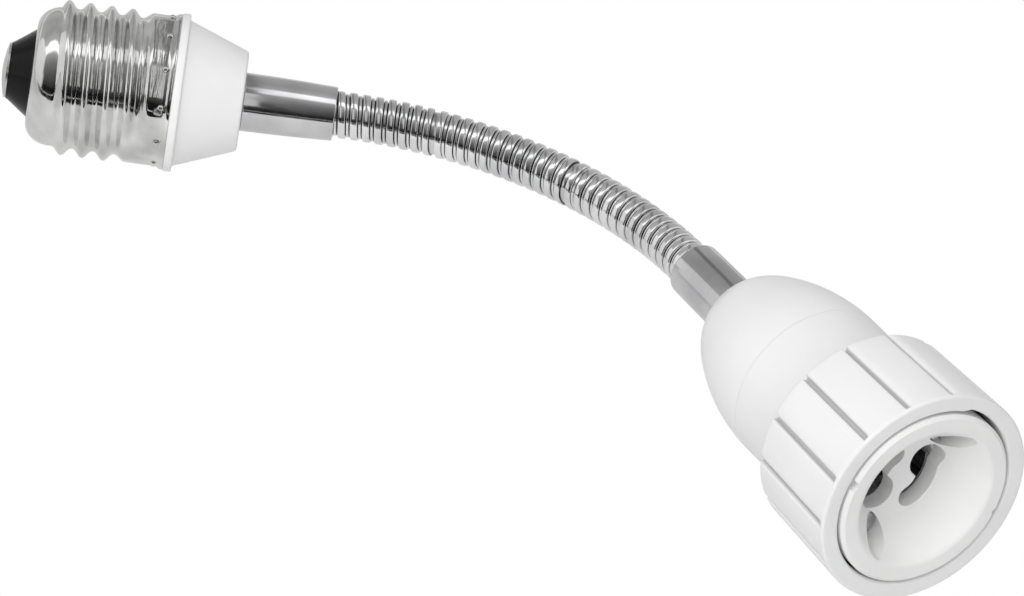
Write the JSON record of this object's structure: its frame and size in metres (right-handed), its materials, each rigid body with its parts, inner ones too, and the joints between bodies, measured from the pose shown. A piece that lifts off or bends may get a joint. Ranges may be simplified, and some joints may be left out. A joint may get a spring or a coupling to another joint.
{
  "type": "lamp socket adapter",
  "caption": "Screw base lamp socket adapter with a flexible chromed strip-wound neck and a white two-pin twist-lock socket.",
  "frame": {"origin": "on the screw cap's axis, in the plane where the metal shell meets the white collar", "axes": "X along the cap's axis with the tip contact toward -X; the neck bends in the XY plane toward -Y; Z square to that plane"},
  "size_m": [0.177, 0.1182, 0.0394],
  "materials": {
    "nickel": "bright nickel plate on rolled brass sheet",
    "black_glass": "glossy black vitrite",
    "tinned_contact": "tinned and lightly brushed",
    "solder": "dull solder",
    "white_plastic": "smooth satin gloss",
    "chrome_plate": "polished chrome plate",
    "chrome_strip": "polished chrome strip",
    "nut_steel": "zinc plated",
    "white_ceramic": "fine unglazed steatite",
    "screw_steel": "nickel plated",
    "clip_strip": "nickel-plated spring strip",
    "live_sleeve": "brown silicone sleeve",
    "neutral_sleeve": "blue silicone sleeve"
  },
  "bodies": {
    "cap": {"screw_shell": "nickel", "tip_insulator": "black_glass", "tip_contact": "tinned_contact", "side_solder": "solder", "base_collar": "white_plastic", "cap_ferrule": "chrome_plate", "cap_nut": "nut_steel", "hose_root": "chrome_strip", "live_wire": "live_sleeve", "neutral_wire": "neutral_sleeve"},
    "link_01": {"hose_link_01": "chrome_strip"},
    "link_02": {"hose_link_02": "chrome_strip"},
    "link_03": {"hose_link_03": "chrome_strip"},
    "link_04": {"hose_link_04": "chrome_strip"},
    "link_05": {"hose_link_05": "chrome_strip"},
    "link_06": {"hose_link_06": "chrome_strip"},
    "link_07": {"hose_link_07": "chrome_strip"},
    "link_08": {"hose_link_08": "chrome_strip"},
    "link_09": {"hose_link_09": "chrome_strip"},
    "link_10": {"hose_link_10": "chrome_strip"},
    "socket": {"hose_end": "chrome_strip", "socket_ferrule": "chrome_plate", "socket_nut": "nut_steel", "rear_housing": "white_plastic", "grip_housing": "white_plastic", "socket_insert": "white_ceramic", "insert_screws": "screw_steel", "neutral_clip": "clip_strip", "live_clip": "clip_strip"}
  },
  "joints": [
    {"name": "side_bend_01", "type": "hinge", "parent": "cap", "child": "link_01", "pos_m": [0.03225, 0, 0], "axis": [0, 0, 1], "range_deg": [-5.8, 16], "deforming": ["live_wire", "neutral_wire"]},
    {"name": "lift_bend_02", "type": "hinge", "parent": "link_01", "child": "link_02", "pos_m": [0.03882, -0.00059, 0], "axis": [0.1768, 0.9843, 0], "range_deg": [-9.5, 9.5], "deforming": ["live_wire", "neutral_wire"]},
    {"name": "side_bend_03", "type": "hinge", "parent": "link_02", "child": "link_03", "pos_m": [0.04532, -0.00175, 0], "axis": [0, 0, 1], "range_deg": [-5.8, 16], "deforming": ["live_wire", "neutral_wire"]},
    {"name": "lift_bend_04", "type": "hinge", "parent": "link_03", "child": "link_04", "pos_m": [0.05169, -0.00349, 0], "axis": [0.348, 0.9375, 0], "range_deg": [-9.5, 9.5], "deforming": ["live_wire", "neutral_wire"]},
    {"name": "side_bend_05", "type": "hinge", "parent": "link_04", "child": "link_05", "pos_m": [0.05787, -0.00579, 0], "axis": [0, 0, 1], "range_deg": [-5.8, 16], "deforming": ["live_wire", "neutral_wire"]},
    {"name": "lift_bend_06", "type": "hinge", "parent": "link_05", "child": "link_06", "pos_m": [0.06383, -0.00862, 0], "axis": [0.5082, 0.8612, 0], "range_deg": [-9.5, 9.5], "deforming": ["live_wire", "neutral_wire"]},
    {"name": "side_bend_07", "type": "hinge", "parent": "link_06", "child": "link_07", "pos_m": [0.06952, -0.01198, 0], "axis": [0, 0, 1], "range_deg": [-5.8, 16], "deforming": ["live_wire", "neutral_wire"]},
    {"name": "lift_bend_08", "type": "hinge", "parent": "link_07", "child": "link_08", "pos_m": [0.07488, -0.01582, 0], "axis": [0.6525, 0.7578, 0], "range_deg": [-9.5, 9.5], "deforming": ["live_wire", "neutral_wire"]},
    {"name": "side_bend_09", "type": "hinge", "parent": "link_08", "child": "link_09", "pos_m": [0.07988, -0.02013, 0], "axis": [0, 0, 1], "range_deg": [-5.8, 16], "deforming": ["live_wire", "neutral_wire"]},
    {"name": "lift_bend_10", "type": "hinge", "parent": "link_09", "child": "link_10", "pos_m": [0.08448, -0.02486, 0], "axis": [0.7761, 0.6306, 0], "range_deg": [-9.5, 9.5], "deforming": ["live_wire", "neutral_wire"]},
    {"name": "side_bend_11", "type": "hinge", "parent": "link_10", "child": "socket", "pos_m": [0.08865, -0.02999, 0], "axis": [0, 0, 1], "range_deg": [-5.8, 16], "deforming": ["live_wire", "neutral_wire"]}
  ]
}
